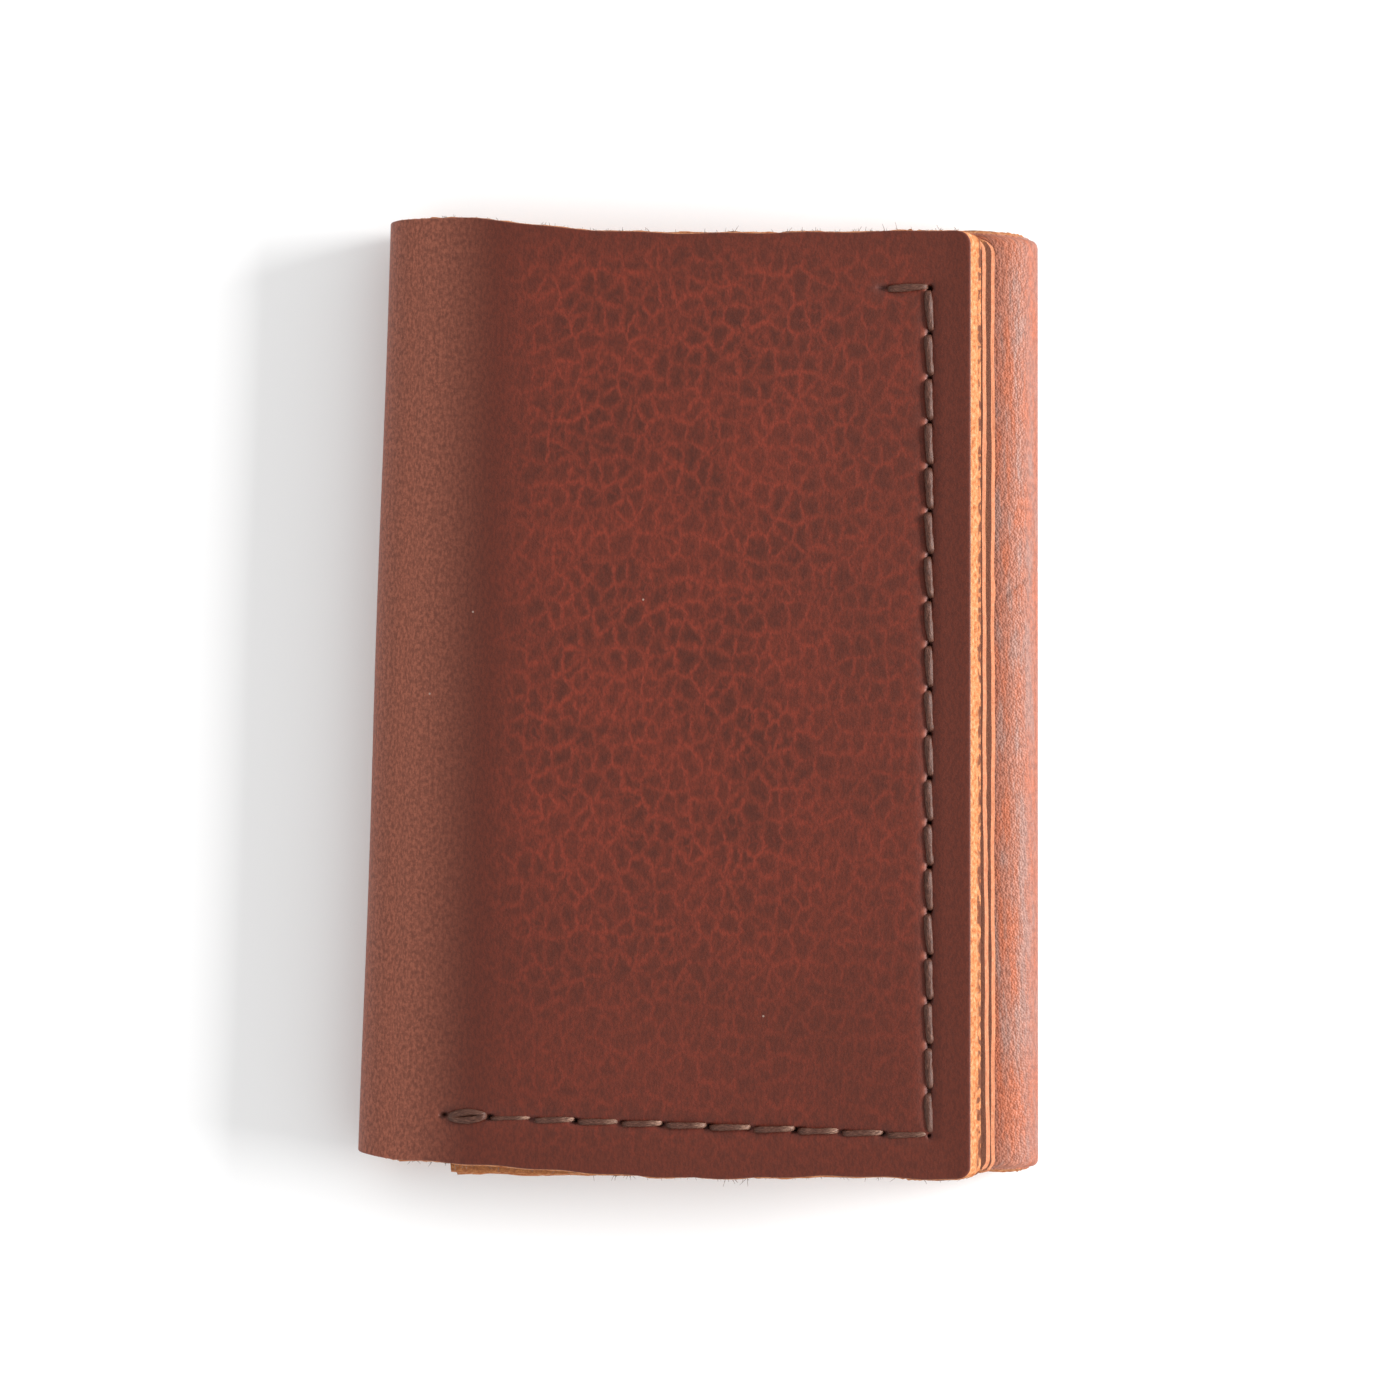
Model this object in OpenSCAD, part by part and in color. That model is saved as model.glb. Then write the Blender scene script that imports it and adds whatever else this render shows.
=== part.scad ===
/* [Overall] */
// Width of the closed holder, from the spine to the right fold, at its widest
holder_w = 73; // [62:0.5:100]
// Height of the holder along its spine
holder_h = 100; // [80:0.5:130]
// Lean of the right side towards the spine, in degrees: the holder is narrower at its top
side_lean = 1.8; // [0:0.1:4]
// Radius of the blank's outer corners
corner_r = 1.5; // [0.5:0.1:4]

/* [Leather] */
// Thickness of the cover leather: front, spine, back and turned-over flap
cover_t = 1.6; // [1.2:0.1:2.4]
// Thickness of each thin pocket layer
pocket_t = 1.0; // [0.8:0.1:1.6]
// Air between stitched layers under the front cover
layer_gap = 0.2; // [0.1:0.05:0.8]
// Air between the back panel and its flap, where cards go
flap_gap = 1.2; // [0.6:0.1:3]
// Air between the flap and the lowest pocket layer when the holder is closed
closing_gap = 1.6; // [0.6:0.1:5]
// Width of the slits that part the spine's strips
spine_slit = 0.3; // [0.2:0.05:0.6]

/* [Edges and mouths] */
// Strip of the right fold left uncovered by the front cover's upper edge
cover_inset = 7.0; // [5:0.1:12]
// How far the front cover's slanted cut runs out towards its lower face
cut_slant = 1.0; // [0.2:0.1:1.6]
// How far the upper pocket layer stands past the cover's lower edge
upper_proud = 0.6; // [0.1:0.1:1.5]
// How far the lower pocket layer stands past the upper one
lower_proud = 0.9; // [0.1:0.1:1.5]
// Distance of the pocket layers' mouth from the spine's outside
mouth_from_spine = 10.6; // [8:0.1:20]
// How far back the lower layer's mouth lies from the upper one's
mouth_step = 0.5; // [0:0.1:3]
// Distance of the flap's mouth from the spine's outside
flap_from_spine = 12; // [9:0.1:24]

/* [Stitching] */
// Wanted length of one stitch
stitch_len = 4.7; // [3:0.1:8]
// Width of the thread
thread_w = 0.9; // [0.5:0.05:1.2]
// Height of a stitch lying in its groove
thread_h = 0.5; // [0.3:0.05:0.6]
// Width along the seam of the thread where it passes through the leather
leg_w = 0.6; // [0.4:0.05:1]
// Clearance all round the thread in its grooves and slits
thread_gap = 0.05; // [0.02:0.01:0.1]
// Side seam's distance from the front cover's upper edge
side_seam_in = 4.2; // [3:0.1:8]
// Bottom seams' distance from the bottom edge
bottom_seam_in = 5.0; // [3:0.1:10]
// Side seam's last hole below the top edge
top_seam_in = 5.8; // [3:0.1:12]
// Back seam's first hole from the outside of the right fold
back_seam_in = 8.0; // [6:0.1:14]
// Back seam's last hole from the flap's mouth
back_seam_end = 1.5; // [1:0.1:6]

/* [Hidden] */
$fn = 96;
over = 1;                                   // how far a cutter runs past a face

// heights of the layers' lower faces, from the table up
flap_z = cover_t + flap_gap;
flap_top = flap_z + cover_t;
lower_z = flap_top + closing_gap;
upper_z = lower_z + pocket_t + layer_gap;
cover_z = upper_z + pocket_t + layer_gap;
holder_t = cover_z + cover_t;

// the spine is a half round as thick as the holder, in four equal bends
spine_r = holder_t / 2;
bends = 4;
bend_angle = 180 / bends;
fold_r = flap_top / 2;
spine_x = -holder_w / 2 + spine_r;          // where the flat panels start
bottom_y = -holder_h / 2;
top_y = holder_h / 2;

// x of a line that runs parallel to the leaning right side, inset from its outside
function side_x(y, inset) =
    holder_w / 2 - inset / cos(side_lean) - (y - bottom_y - corner_r) * tan(side_lean);
function corner_arc(centre, radius, from, to, steps = 6) =
    [for (i = [0:steps]) let (a = from + (to - from) * i / steps)
        centre + radius * [cos(a), sin(a)]];

cover_low_inset = cover_inset - cut_slant;
upper_inset = cover_low_inset - upper_proud;
lower_inset = upper_inset - lower_proud;

// seam corners and stitch counts
mouth_x = -holder_w / 2 + mouth_from_spine;
flap_x = -holder_w / 2 + flap_from_spine;
seam_y = bottom_y + bottom_seam_in;
seam_top_y = top_y - top_seam_in;
seam_inset = cover_inset + side_seam_in;
seam_corner = [side_x(seam_y, seam_inset), seam_y];
seam_top = [side_x(seam_top_y, seam_inset), seam_top_y];
side_run = (seam_top_y - seam_y) / cos(side_lean);
bottom_run = seam_corner[0] - (mouth_x - leg_w / 2 - 4 * thread_gap);
side_count = round(side_run / stitch_len);
bottom_count = round(bottom_run / stitch_len);
back_corner = [side_x(seam_y, back_seam_in), seam_y];
back_run = back_corner[0] - flap_x - back_seam_end;
back_count = round(back_run / stitch_len);

// plan of a layer: straight left edge, leaning right edge with round corners
module layer_plan(left_x, inset, radius = corner_r) {
    low_y = bottom_y + radius;
    high_y = top_y - radius;
    low = [side_x(low_y, inset) - radius / cos(side_lean), low_y];
    high = [side_x(high_y, inset) - radius / cos(side_lean), high_y];
    polygon(concat([[left_x, top_y], [left_x, bottom_y]],
        corner_arc(low, radius, -90, side_lean), corner_arc(high, radius, side_lean, 90)));
}

module layer(left_x, inset, low_z, thickness) {
    translate([0, 0, low_z]) linear_extrude(thickness) layer_plan(left_x, inset);
}

// flat part of the blank that ends where the right fold's round begins
module layer_to_fold(left_x, low_z) {
    difference() {
        layer(left_x, 0, low_z, cover_t);
        along_side(fold_r) translate([0, low_z - over]) square([fold_r + over, cover_t + 2 * over]);
    }
}

// puts a section drawn across the right side along that leaning side; its x is 0 at the outside
module along_side(inset = 0) {
    translate([side_x(bottom_y, inset), bottom_y, 0]) rotate([0, 0, side_lean])
        translate([0, -over, 0]) rotate([90, 0, 0])
            mirror([0, 0, 1]) linear_extrude(holder_h / cos(side_lean) + 2 * over) children();
}

// part of the round spine between two angles, counted from the table round the outside to the top
module spine_strip(from, to) {
    far = 2 * spine_r;
    translate([spine_x, 0, spine_r]) rotate([90, 0, 0]) linear_extrude(holder_h, center = true)
        intersection() {
            difference() {
                circle(spine_r);
                circle(spine_r - cover_t);
            }
            polygon([[0, 0], far * [-sin(from), -cos(from)], far * [-sin(to), -cos(to)]]);
        }
}

// a strip with half a slit cut from each end that meets a neighbour
module slit_strip(from, to, slit_from = true, slit_to = true) {
    difference() {
        spine_strip(from, to);
        if (slit_from) spine_slit_cut(from);
        if (slit_to) spine_slit_cut(to);
    }
}

module spine_slit_cut(angle) {
    translate([spine_x, 0, spine_r]) rotate([0, angle, 0])
        translate([-spine_slit / 2, -holder_h / 2 - over, -spine_r - over])
            cube([spine_slit, holder_h + 2 * over, cover_t + 2 * over]);
}

// stitches on both faces joined by legs, running along +Y from the first hole
module seam(count, run, low_z, high_z) {
    for (z = [low_z + thread_gap, high_z - thread_gap - thread_h])
        translate([-thread_w / 2, -leg_w / 2, z]) cube([thread_w, run + leg_w, thread_h]);
    for (i = [0:count])
        translate([-thread_w / 2, i * run / count - leg_w / 2, low_z + thread_gap])
            cube([thread_w, leg_w, high_z - low_z - 2 * thread_gap]);
}

// grooves in both faces and slits through the leather for the same seam
module seam_cut(count, run, low_z, high_z) {
    wide = thread_w + 2 * thread_gap;
    deep = thread_h + 2 * thread_gap;
    slit = leg_w + 2 * thread_gap;
    for (z = [low_z - over, high_z - deep])
        translate([-wide / 2, -slit / 2, z]) cube([wide, run + slit, deep + over]);
    for (i = [0:count])
        translate([-wide / 2, i * run / count - slit / 2, low_z - over])
            cube([wide, slit, high_z - low_z + 2 * over]);
}

module front_runs(cut = false) {
    single = side_run / side_count;
    translate(seam_corner) rotate([0, 0, side_lean]) front_run(cut, side_count, side_run);
    translate(seam_corner) rotate([0, 0, 90]) front_run(cut, bottom_count, bottom_run);
    translate(seam_top) rotate([0, 0, 90]) front_run(cut, 1, single);
}

module front_run(cut, count, run) {
    if (cut) seam_cut(count, run, lower_z, holder_t);
    else seam(count, run, lower_z, holder_t);
}

module back_run_cut() {
    translate(back_corner) rotate([0, 0, 90]) seam_cut(back_count, back_run, 0, flap_top);
}

module front_cover() color("#6b3a2d") difference() {
    union() {
        layer(spine_x, cover_low_inset, cover_z, cover_t);
        slit_strip(180 - bend_angle / 2, 180, true, false);
    }
    along_side(cover_low_inset)
        polygon([[-cut_slant, holder_t], [0, cover_z], [over, cover_z], [over, holder_t + over],
            [-cut_slant, holder_t + over]]);
    front_runs(cut = true);
}

module card_pocket_upper() color("#c98a63") difference() {
    layer(mouth_x, upper_inset, upper_z, pocket_t);
    front_runs(cut = true);
}

module card_pocket_lower() color("#c07f5c") difference() {
    layer(mouth_x + mouth_step, lower_inset, lower_z, pocket_t);
    front_runs(cut = true);
}

module front_seam_thread() color("#3f2a24") front_runs();

module spine_upper() color("#74402f") slit_strip(180 - 1.5 * bend_angle, 180 - bend_angle / 2);

module spine_middle() color("#74402f") slit_strip(1.5 * bend_angle, 2.5 * bend_angle);

module spine_lower() color("#74402f") slit_strip(bend_angle / 2, 1.5 * bend_angle);

module back_panel() color("#6b3a2d") difference() {
    union() {
        layer_to_fold(spine_x, 0);
        slit_strip(0, bend_angle / 2, false, true);
    }
    back_run_cut();
}

module pocket_fold() color("#b9694f") intersection() {
    along_side() translate([-fold_r, fold_r]) intersection() {
        difference() {
            circle(fold_r);
            circle(fold_r - cover_t);
        }
        translate([0, -fold_r]) square([fold_r, 2 * fold_r]);
    }
    layer(0, 0, 0, flap_top);
}

module back_pocket() color("#a55b44") difference() {
    layer_to_fold(flap_x, flap_z);
    back_run_cut();
}

module back_seam_thread() color("#3f2a24")
    translate(back_corner) rotate([0, 0, 90]) seam(back_count, back_run, 0, flap_top);

front_cover();
card_pocket_upper();
card_pocket_lower();
front_seam_thread();
spine_upper();
spine_middle();
spine_lower();
back_panel();
pocket_fold();
back_pocket();
back_seam_thread();
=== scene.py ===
import math

import bpy
import numpy as np
from mathutils import Matrix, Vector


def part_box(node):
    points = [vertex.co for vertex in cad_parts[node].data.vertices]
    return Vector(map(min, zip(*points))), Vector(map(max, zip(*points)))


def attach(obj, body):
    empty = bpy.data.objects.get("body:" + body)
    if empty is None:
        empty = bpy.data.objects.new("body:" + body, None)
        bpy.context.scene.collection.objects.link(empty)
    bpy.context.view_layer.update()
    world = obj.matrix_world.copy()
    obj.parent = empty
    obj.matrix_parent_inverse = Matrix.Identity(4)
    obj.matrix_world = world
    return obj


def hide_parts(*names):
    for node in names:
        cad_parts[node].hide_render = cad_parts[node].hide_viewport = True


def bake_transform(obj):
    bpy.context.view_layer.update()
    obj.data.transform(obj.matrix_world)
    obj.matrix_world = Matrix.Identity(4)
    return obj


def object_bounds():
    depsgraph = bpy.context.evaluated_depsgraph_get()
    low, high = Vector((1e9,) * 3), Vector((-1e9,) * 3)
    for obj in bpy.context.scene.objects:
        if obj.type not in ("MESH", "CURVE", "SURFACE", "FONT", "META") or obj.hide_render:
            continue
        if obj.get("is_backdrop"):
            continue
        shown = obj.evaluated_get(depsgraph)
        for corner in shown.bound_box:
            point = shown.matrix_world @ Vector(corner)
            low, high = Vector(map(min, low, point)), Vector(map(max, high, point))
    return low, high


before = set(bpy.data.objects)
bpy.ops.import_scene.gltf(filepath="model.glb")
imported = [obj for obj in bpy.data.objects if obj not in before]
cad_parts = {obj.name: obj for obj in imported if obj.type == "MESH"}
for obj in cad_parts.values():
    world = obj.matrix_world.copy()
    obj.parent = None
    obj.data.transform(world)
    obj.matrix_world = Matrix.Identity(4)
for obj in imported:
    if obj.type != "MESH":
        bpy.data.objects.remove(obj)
cadLow, cadHigh = (np.array(corner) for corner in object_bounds())

mm = 0.001
rng = np.random.default_rng(41)      # every jitter comes from this one seed


# places read from the frame, in millimetres

def boxOf(node):
    low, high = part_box(node)
    return np.array(low) / mm, np.array(high) / mm


bottomY, topY = cadLow[1] / mm, cadHigh[1] / mm
spineX = cadLow[0] / mm                       # outside of the spine
sideX = cadHigh[0] / mm                       # outside of the right fold, at the bottom
stack = cadHigh[2] / mm                       # thickness of the closed holder
spineR = stack / 2
flatX = spineX + spineR                       # where the round spine meets the flat panels
flapLow, flapHigh = boxOf("back_pocket")
upperLow, upperHigh = boxOf("card_pocket_upper")
lowerLow, lowerHigh = boxOf("card_pocket_lower")
coverHigh = boxOf("front_cover")[1]
frontSeamLow, frontSeamHigh = boxOf("front_seam_thread")
backSeamLow, backSeamHigh = boxOf("back_seam_thread")
coverT = flapHigh[2] - flapLow[2]             # cover leather's thickness

holder = {
    "lean": 1.8,             # degrees that the right side leans towards the spine
    "cutSlant": 1.0,         # mm that the cover's cut runs out towards its lower face
    "cornerR": 1.5,          # mm
    "arris": 0.16,           # mm, rounding of the grain side's cut edges
    "spineDrop": 1.5,        # mm that the front cover sinks where it runs into the spine
    "drawnFrom": 70,         # degrees round the spine from the table where it starts to draw in
    "dropEnd": 15.0,         # mm from the spine's outside to where the cover lies flat
    "dropSlope": 0.25,       # slope of the cover where it leaves the spine
}
seam = {
    "threadW": 0.9,          # mm
    "legW": 0.6,             # mm, as the frame's thread passes through the leather
    "stitch": 4.7,           # mm, wanted length of one stitch
}
lean = math.radians(holder["lean"])
arcLength = math.pi * spineR                  # the spine's grain side, unrolled


def smooth(t):                                # 0 to 1 with flat ends
    t = np.clip(t, 0, 1)
    return t * t * (3 - 2 * t)


def sideAt(y, inset):                         # x of a line parallel to the leaning side
    return sideX - inset / math.cos(lean) - (y - bottomY - holder["cornerR"]) * math.tan(lean)


def bump(x, centre, width):                   # bell curve of height 1
    return np.exp(-((x - centre) / width) ** 2)


# how far each hand-cut edge strays from straight, by distance from the spine in mm
def bottomStray(m):
    return (0.6 * smooth((m - 38) / 20) - 0.55 * bump(m, 33, 15) - 0.12 * bump(m, 60, 6)
            + 0.07 * np.sin(m * 0.9))


def topStray(m):
    return (0.85 * (1 - smooth((m - 7) / 15)) - 0.50 * bump(m, 31, 13) + 0.35 * bump(m, 61, 8)
            + 0.06 * np.sin(m * 0.7 + 1))


# a mesh from whole arrays: points in mm, faces, a material number for each face, a UV in mm for
# each face corner, and named numbers for each point
def linked(name, points, quads, materials, slots, uv, attributes=None):
    mesh = bpy.data.meshes.new(name)
    mesh.from_pydata((points * mm).tolist(), [], quads.tolist())
    for material in materials:
        mesh.materials.append(material)
    mesh.polygons.foreach_set("material_index", slots.astype(np.int32))
    mesh.polygons.foreach_set("use_smooth", np.ones(len(quads), bool))
    layer = mesh.uv_layers.new(name="leatherMap")
    layer.data.foreach_set("uv", uv.astype(np.float32).ravel())
    for key, values in (attributes or {}).items():
        made = mesh.attributes.new(key, "FLOAT", "POINT")
        made.data.foreach_set("value", values.astype(np.float32))
    mesh.update()
    mesh.set_sharp_from_angle(angle=math.radians(50))                  # joined rims stay flat to the join
    piece = bpy.data.objects.new(name, mesh)
    bpy.context.scene.collection.objects.link(piece)
    return piece


def gridFaces(rows, cols, first=0, flip=False):
    i = np.arange(rows - 1)[:, None] * cols + np.arange(cols - 1)[None, :] + first
    quads = np.stack([i, i + 1, i + cols + 1, i + cols], -1).reshape(-1, 4)
    return quads[:, ::-1] if flip else quads


def rimOf(rows, cols):                        # point numbers round a grid's rim, anticlockwise
    grid = np.arange(rows * cols).reshape(rows, cols)
    return np.concatenate([grid[0, :-1], grid[:-1, -1], grid[-1, :0:-1], grid[:0:-1, 0]])


def rough(count, step, size):                 # smoothed random strays round a closed rim
    raw = rng.normal(0, 1, count)
    kernel = np.hanning(step * 2 + 1)
    kernel /= np.sqrt((kernel ** 2).sum())
    return np.convolve(np.concatenate([raw[-step:], raw, raw[:step]]), kernel, "same")[step:-step] * size


# a sheet of leather: the grain face is one grid of points, the flesh face another, and the cut wall
# between their rims is rings that run from one to the other, pushed outward by a quarter round at
# each arris and by a little random fray between them
def leatherSheet(name, grain, flesh, outward, uv, materials, marks, arris=None, wallRings=7, fray=0.05,
                 slant=None, flare=0.12):
    arris = holder["arris"] if arris is None else arris
    rows, cols = grain.shape[:2]
    count = rows * cols
    rim = rimOf(rows, cols)
    top, low = grain.reshape(-1, 3)[rim], flesh.reshape(-1, 3)[rim]
    thick = np.linalg.norm(top - low, axis=1)[:, None]
    free = np.linalg.norm(outward, axis=1)[:, None] > 0.5
    quarter = np.radians([30, 60, 90])                                 # three steps round each arris
    rounded = [arris * math.sin(a) for a in quarter]
    pushes = rounded + [arris] * wallRings + rounded[::-1][1:]
    depths = [arris * (1 - math.cos(a)) for a in quarter]
    walls = []
    total = len(pushes)
    length = np.concatenate([[0], np.cumsum(np.linalg.norm(np.diff(top, axis=0), axis=1))])
    for k in range(total):
        if k < 3:
            depth = np.full_like(thick, depths[k])
        elif k < 3 + wallRings:
            depth = arris + (thick - 2 * arris) * (k - 2) / (wallRings + 1)
        else:
            depth = thick - depths[wallRings + 4 - k]
        share = depth / thick
        ring = top + (low - top) * share + outward * (pushes[k] + flare * smooth(share * 1.2))
        if 3 <= k < 3 + wallRings:
            ring = ring + outward * (rough(len(rim), 2, fray) + rough(len(rim), 9, fray))[:, None] * free
        if slant is not None:
            ring = ring + slant * share
        walls.append((ring, share[:, 0]))
    if slant is not None:
        flesh = flesh.reshape(-1, 3).copy()
        flesh[rim] += slant * 0.98
    points = np.concatenate([grain.reshape(-1, 3), flesh.reshape(-1, 3)] + [w[0] for w in walls])
    n = len(rim)
    starts = [rim] + [count * 2 + n * k + np.arange(n) for k in range(total)] + [rim + count]
    ringQuads = np.concatenate([np.stack([a, b, np.roll(b, -1), np.roll(a, -1)], -1)
                                for a, b in zip(starts[:-1], starts[1:])])
    faces = np.concatenate([gridFaces(rows, cols), gridFaces(rows, cols, count, True), ringQuads])
    faceCount = (rows - 1) * (cols - 1)
    slots = np.concatenate([np.zeros(faceCount), np.full(faceCount, 2),
                            np.zeros(n * 2), np.ones(len(ringQuads) - n * 2)]).astype(int)
    faceUv = np.concatenate([uv.reshape(-1, 2), uv.reshape(-1, 2)] + [uv.reshape(-1, 2)[rim]] * total)
    wallUv = np.zeros((len(points), 2))
    wallUv[rim] = np.stack([length, length * 0], -1)
    wallUv[rim + count] = np.stack([length, thick[:, 0]], -1)
    for k, (ring, share) in enumerate(walls):
        wallUv[count * 2 + n * k + np.arange(n)] = np.stack([length, share * thick[:, 0]], -1)
    isWall = np.arange(len(faces)) >= faceCount * 2 + n * 2
    corner = np.where(isWall[:, None, None], wallUv[faces], faceUv[faces])
    # the flesh side keeps only the pocket rim mark with its painted shade, and the cut walls keep all but the
    # painted shade of the holes
    values = {key: np.concatenate([v.ravel(), v.ravel() * (key == "bare")]
                                  + [v.ravel()[rim] * (key != "pit")] * total)
              for key, v in marks.items()}
    return linked(name, points, faces, materials, slots, corner.reshape(-1, 2), values)


def linear(hexCode):                          # an sRGB hex colour as linear RGBA
    values = [int(hexCode[i:i + 2], 16) / 255 for i in (1, 3, 5)]
    return [v / 12.92 if v <= 0.04045 else ((v + 0.055) / 1.055) ** 2.4 for v in values] + [1]


# adds a node with its settings, sets or links its inputs by name or, as i0 and so on, by number, and
# gives back one output; a hex colour is made linear, and a ramp's stops are (place, hex) pairs
def addNode(tree, kind, settings=None, output=0, **inputs):
    node = tree.nodes.new("ShaderNode" + kind)
    for key, value in (settings or {}).items():
        if key == "stops":
            stops = node.color_ramp.elements
            while len(stops) < len(value):
                stops.new(0.5)
            for stop, (place, colour) in zip(stops, value):
                stop.position = place
                stop.color = linear(colour)
        else:
            setattr(node, key, value)
    for key, value in inputs.items():
        numbered = key[0] == "i" and key[1:].isdigit()
        socket = node.inputs[int(key[1:]) if numbered else key.replace("_", " ")]
        if isinstance(value, bpy.types.NodeSocket):
            tree.links.new(value, socket)
        else:
            socket.default_value = linear(value) if isinstance(value, str) else value
    return node.outputs[output]


# settings that many nodes share
unrolled = {"uv_map": "leatherMap"}           # the leather laid flat, in mm
flat = {"noise_dimensions": "2D"}
cells = {"voronoi_dimensions": "2D", "feature": "DISTANCE_TO_EDGE"}
spots = {"voronoi_dimensions": "2D", "feature": "F1"}
eased = {"interpolation_type": "SMOOTHSTEP"}
mixed = {"data_type": "RGBA"}
times = {"operation": "MULTIPLY"}
timesHeld = {"operation": "MULTIPLY", "use_clamp": True}
added = {"operation": "ADD"}


def newMaterial(name):
    material = bpy.data.materials.new(name)
    material.use_nodes = True
    tree = material.node_tree
    return material, tree, tree.nodes["Principled BSDF"]


grainLook = {
    "cell": 1.85,            # mm across the larger pebbles
    "smallCell": 1.0,        # mm across the smaller pebbles
    "largeFurrow": 0.22,     # share of a larger pebble that its furrow's slope takes up
    "smallFurrow": 0.26,
    "tall": 1.35,            # how much taller than wide the pebbles are
    "wander": 0.62,          # mm that the furrows stray
    "fine": 0.27,            # mm between the finest pebbles, drawn as coarse as they need to show
    "pore": 0.16,            # mm, hair pores and fine grain
    "combed": 0.45,          # how much the fine flecks are drawn out along the spine
    "dragged": 0.16,         # how much the streaks of the bent leather are drawn out
    "dustApart": 11.0,       # mm between specks of dust, of which few are kept
    "reliefDepth": 0.00008,  # m
    "ior": 1.46,
    "specular": 0.34,
    "cellColour": "#5d281b",
    "cellDeep": "#4d2319",
    "furrowColour": "#7d3121",
    "fleckColour": "#3a1a14",
    # the worn colours are partly wear and partly a painted sheen of the spine's curve
    "wornSheenColour": "#9e5b46",
    "wornSheenSpeck": "#703b2d",
    # the pull colours are the paler pull-up of bent leather and a painted highlight of the fold's sheen
    "pullHighlightColour": "#a66b57",
    "pullHighlightOrange": "#b0664a",
    "pullHighlightGrey": "#a07669",
    "lipColour": "#96523e",
    "dustColour": "#b8a294",
    # painted shade in the stitch holes
    "holeShadeColour": "#0a0504",
}
# cloudy patterns of the grain: size in mm, detail, roughness
grainClouds = {
    "patchy": (2.6, 2.0, 0.55),
    "patchySmall": (3.3, 2.0, 0.5),
    "tone": (11.0, 3.0, 0.55),
    "blotchy": (1.1, 3.0, 0.55),
    "speck": (0.42, 3.0, 0.7),
    "pores": (grainLook["pore"], 2.0, 0.6),
}


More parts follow.
